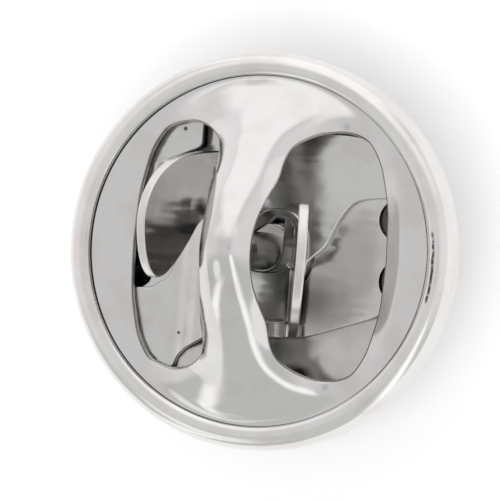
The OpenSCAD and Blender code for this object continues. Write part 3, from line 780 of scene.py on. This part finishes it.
RIGHT = dict(front=[(3.95, 1.34), (3.6, 1.32), (3.26, 1.29), (3.02, 1.13), (2.79, 0.97), (2.6, 0.55), (2.33, -0.1), (2.1, -0.58),
                    (1.75, -0.8), (1.2, -0.87), (0.6, -0.9), (0.2, -1), (-0.1, -1.2), (-0.5, -1.27), (-0.98, -1.15), (-1.28, -0.7),
                    (-1.36, 0), (-1.27, 0.25)],
             back=[(-0.75, 2.47), (-0.3, 2.45), (0.3, 2.3), (0.8, 2.32), (1.2, 2.48), (1.7, 2.78), (2.1, 3.02), (2.31, 3.27),
                   (2.39, 3.5), (2.52, 3.63), (2.95, 3.54), (3.46, 3.24), (3.8, 2.86), (3.95, 2.45)],
             foot=(-0.92, 0.38, 2.46), wing=WING_R, k=0.93, dy=-0.52, turn=True, ramp=True, slit=True,
             slot=[(-0.97, -0.1), (-0.97, -0.68), (-0.95, -0.76), (-0.8, -0.95), (-0.7, -0.99), (-0.4, -0.99), (0, -0.68), (0.4, -0.4)],
             slot_ends=(176, -22))


def bend_x(q):
    """Where the wing's bend leaves the flat leaf."""
    return q["foot"][0] - 0.15 - (RI - RI * math.sin(LEAN)) * math.tan(LEAN) + RI * math.cos(LEAN)


def leaf_outline(q):
    """Leaf and wing as one flat blank: the leaf's plan, a notch, and the wing past its bend."""
    fx, y0, y1 = q["foot"]
    front = through(q["front"], 4)
    yw = q["k"] * 1.0 + q["dy"]
    notch = np.array([(fx - 0.13, yw - 0.14), (fx - 0.02, yw - 0.11), (fx + 0.02, yw - 0.06), (fx - 0.05, yw - 0.015)])
    wing = through([(q["k"] * y + q["dy"], q["k"] * h) for y, h in q["wing"]], 4)
    u = bend_x(q) - BEND_LEN - (wing[:, 1] - 0.077)
    back = through([(fx, y1 - 0.01)] + q["back"], 4)
    return np.concatenate([front, notch, np.stack([u, wing[:, 0]], 1), back])


def leaf_shape(q, z_root):
    cx = bend_x(q)
    yw = q["k"] * 1.0 + q["dy"]
    ym = q["k"] * 0.9 + q["dy"]

    def shape(u, v, w):
        flat = (u > cx) | ((v < yw - 0.05) & (u > -1.62))
        s = np.maximum(cx - u, 0)
        k = np.clip(s / BEND_LEN, 0, 1)
        wt = w * (1 + (WING_T / LEAF_T - 1) * k)
        a = np.minimum(s / RM, math.pi / 2 - LEAN)
        rest = np.maximum(s - BEND_LEN, 0)
        # slight dish of the wing, none at its root
        wt = wt - 0.05 * np.clip(rest / 1.5, 0, 1) ** 2 * (1 - ((v - ym) / 2.4) ** 2)
        ang = 1.5 * math.pi - a
        rr = RM - wt
        bx = cx + rr * np.cos(ang) - rest * math.sin(LEAN)
        bz = RM + rr * np.sin(ang) + rest * math.cos(LEAN)
        x = np.where(flat, u, bx)
        z = np.where(flat, w, bz)
        if q["ramp"]:
            z = z + (OVER_Z - LEAF_Z) * ease((2.4 - u) / 0.65)
            # the bar at the wing's lower end rolls off before the bend
            z = z - 0.07 * ease((-u - 0.45) / 0.42) * ease((v - 1.95) / 0.1)
        x, y = (x, v) if not q["turn"] else (-x, -v)
        return np.stack([x, y, z + CLUTCH_Z + z_root + LEAF_T / 2], -1)
    return shape


def build_leaf(name, q, body):
    a, b = q["slot_ends"]
    if q["turn"]:
        hole = np.concatenate([arc(-TRAVEL, 0, R0, 90, a, 16), np.array(q["slot"]), arc(0, 0, R0, b, 90, 20)])
    else:
        hole = np.concatenate([arc(0, 0, R0, -90, a, 14), np.array(q["slot"]), arc(-TRAVEL, 0, R0, b, 270, 24)])
    holes = [hole]
    if q["slit"]:
        holes.append(np.array([(-0.87, 1.93), (-0.12, 1.93), (-0.1, 1.96), (-0.12, 1.99), (-0.87, 1.99), (-0.89, 1.96)]))
    cx = bend_x(q)
    bend = cx - np.linspace(0, BEND_LEN, 9)
    us = np.concatenate([np.arange(-5.2, cx - BEND_LEN - 0.05, 0.12), bend[::-1], np.arange(cx + 0.06, 4, 0.12)])
    X, F, N = sheet(leaf_outline(q), holes, LEAF_T, 0.05, us, np.arange(-3.6, 3.6, 0.06), leaf_shape(q, LEAF_Z), step=0.07, wings=4)
    return put(name, X, F, N, body=body, nodes=[name], mat=M_SPRING,
               second=[(M_EDGE, [(0, sum(len(f) == 4 for f in F))])])


build_pin()
build_nib_plate()
build_cap()
build_strip()
build_leaf("left_wing", LEFT, "left_wing")
build_leaf("right_wing", RIGHT, "right_wing")

# ------------------------------------------------------------------ floor, light, camera
bpy.ops.mesh.primitive_circle_add(vertices=96, radius=0.6, fill_type="NGON", location=(0, 0, 0))
floor = bpy.context.active_object
floor.name = "floor"
fm = bpy.data.materials.new("floor")
fm.use_nodes = True
fb = fm.node_tree.nodes["Principled BSDF"]
fb.inputs["Base Color"].default_value = (0.96, 0.96, 0.96, 1)
fb.inputs["Roughness"].default_value = 0.6
fb.inputs["Specular IOR Level"].default_value = 0.2
floor.data.materials.append(fm)

TH, PH = math.radians(17.1), math.radians(4.8)
cam_dir = Vector((math.sin(TH), 0, math.cos(TH)))
right = Vector((math.cos(TH), 0, -math.sin(TH)))       # image right before the roll
upv = Vector((0, 1, 0))
# the roll: +X points right and 4.8 degrees down, +Y up and leaning right
x_ax = right * math.cos(PH) + upv * math.sin(PH)
y_ax = upv * math.cos(PH) - right * math.sin(PH)
FRAME_MM = 14.4          # width of the frame at the object
AIM = (-0.25, 0.0, CLUTCH_Z + 1.15)
DIST = 0.22
cam_data = bpy.data.cameras.new("camera")
cam_data.sensor_width = 36
cam_data.lens = 36 * DIST / (FRAME_MM * MM)
cam_data.clip_start, cam_data.clip_end = 0.01, 10
cam = bpy.data.objects.new("camera", cam_data)
bpy.context.scene.collection.objects.link(cam)
target = Vector(AIM) * MM
loc = target + cam_dir * DIST
rot = Matrix((x_ax, y_ax, cam_dir)).transposed()
cam.matrix_world = Matrix.Translation(loc) @ rot.to_4x4()
bpy.context.scene.camera = cam

bpy.context.scene.view_settings.view_transform = "Standard"

# a soft white tent lit from behind, with the dark opening that the camera looks through
world = bpy.data.worlds.new("tent")
bpy.context.scene.world = world
world.use_nodes = True
wt = world.node_tree
wt.nodes.clear()
wo = wt.nodes.new("ShaderNodeOutputWorld")
bg = wt.nodes.new("ShaderNodeBackground")
wt.links.new(bg.outputs[0], wo.inputs[0])
sky = wt.nodes.new("ShaderNodeTexCoord").outputs["Generated"]


def along(v):
    """How far a direction points along v."""
    n = wt.nodes.new("ShaderNodeVectorMath")
    n.operation = "DOT_PRODUCT"
    wt.links.new(sky, n.inputs[0])
    n.inputs[1].default_value = v
    return n.outputs["Value"]


def calc(op, *args):
    n = wt.nodes.new("ShaderNodeMath")
    n.operation = op
    for i, a in enumerate(args):
        if isinstance(a, (int, float)):
            n.inputs[i].default_value = a
        else:
            wt.links.new(a, n.inputs[i])
    return n.outputs[0]


def step(src, lo, hi):
    """0 below lo, 1 above hi; the other way round if lo is the larger."""
    n = wt.nodes.new("ShaderNodeMapRange")
    n.interpolation_type = "SMOOTHSTEP"
    a, b = (0.0, 1.0) if lo < hi else (1.0, 0.0)
    for k, v in (("From Min", min(lo, hi)), ("From Max", max(lo, hi)), ("To Min", a), ("To Max", b)):
        n.inputs[k].default_value = v
    wt.links.new(src, n.inputs["Value"])
    return n.outputs[0]


def over(base, colour, mask):
    n = wt.nodes.new("ShaderNodeMix")
    n.data_type = "RGBA"
    wt.links.new(mask, n.inputs["Factor"])
    if isinstance(base, tuple):
        n.inputs["A"].default_value = (*base, 1)
    else:
        wt.links.new(base, n.inputs["A"])
    n.inputs["B"].default_value = (*colour, 1)
    return n.outputs["Result"]


x_, y_, z_ = along((1, 0, 0)), along((0, 1, 0)), along((0, 0, 1))
tent = over((0.80, 0.80, 0.80), (0.97, 0.945, 0.95), step(calc("ABSOLUTE", x_), 0.30, 0.80))
tent = over(tent, (1.13, 1.125, 1.12), calc("MULTIPLY", step(y_, 0.25, 0.60), step(z_, 0.36, 0.62)))
tent = over(tent, (0.70, 0.71, 0.695), step(y_, -0.10, -0.50))
left_strip = calc("MULTIPLY", step(calc("ABSOLUTE", along((0.643, -0.527, -0.555))), 0.14, 0.03),
                  calc("MULTIPLY", step(y_, -0.55, -0.76), calc("MULTIPLY", step(y_, -0.90, -0.85), step(z_, 0.66, 0.30))))
right_strip = calc("MULTIPLY", step(calc("ABSOLUTE", along((0.808, 0.517, -0.283))), 0.24, 0.05),
                   calc("MULTIPLY", step(z_, 0.93, 0.84), step(y_, -0.14, -0.36)))
tent = over(tent, (1.37, 1.37, 1.37), calc("MAXIMUM", left_strip, right_strip))
low_glow = step(along((-0.47, -0.65, 0.60)), 0.962, 0.988)
tent = over(tent, (1.12, 1.12, 1.12), low_glow)
wedge = calc("MULTIPLY", step(along((0.703, 0.569, -0.427)), -0.20, 0.06), step(along((-0.812, 0.574, -0.102)), -0.05, 0.26))
tent = over(tent, (1.29, 1.29, 1.29), wedge)
tent = over(tent, (0.62, 0.62, 0.62), step(along(tuple(cam_dir)), math.cos(math.radians(6)), math.cos(math.radians(2))))
tent = over(tent, (1.0, 1.0, 1.0), step(z_, 0.0, -0.02))
wt.links.new(tent, bg.inputs["Color"])
bg.inputs["Strength"].default_value = 1.0


def area(name, where, to, size, power):
    d = bpy.data.lights.new(name, "AREA")
    d.shape = "RECTANGLE"
    d.size, d.size_y = size
    d.energy = power
    o = bpy.data.objects.new(name, d)
    bpy.context.scene.collection.objects.link(o)
    o.location = where
    o.rotation_mode = "QUATERNION"
    o.rotation_quaternion = (Vector(to) - Vector(where)).to_track_quat("-Z", "Y")
    return o


area("key", (0.06, -0.10, 0.48), (0, 0, 0.005), (0.24, 0.24), 0.70).visible_glossy = False
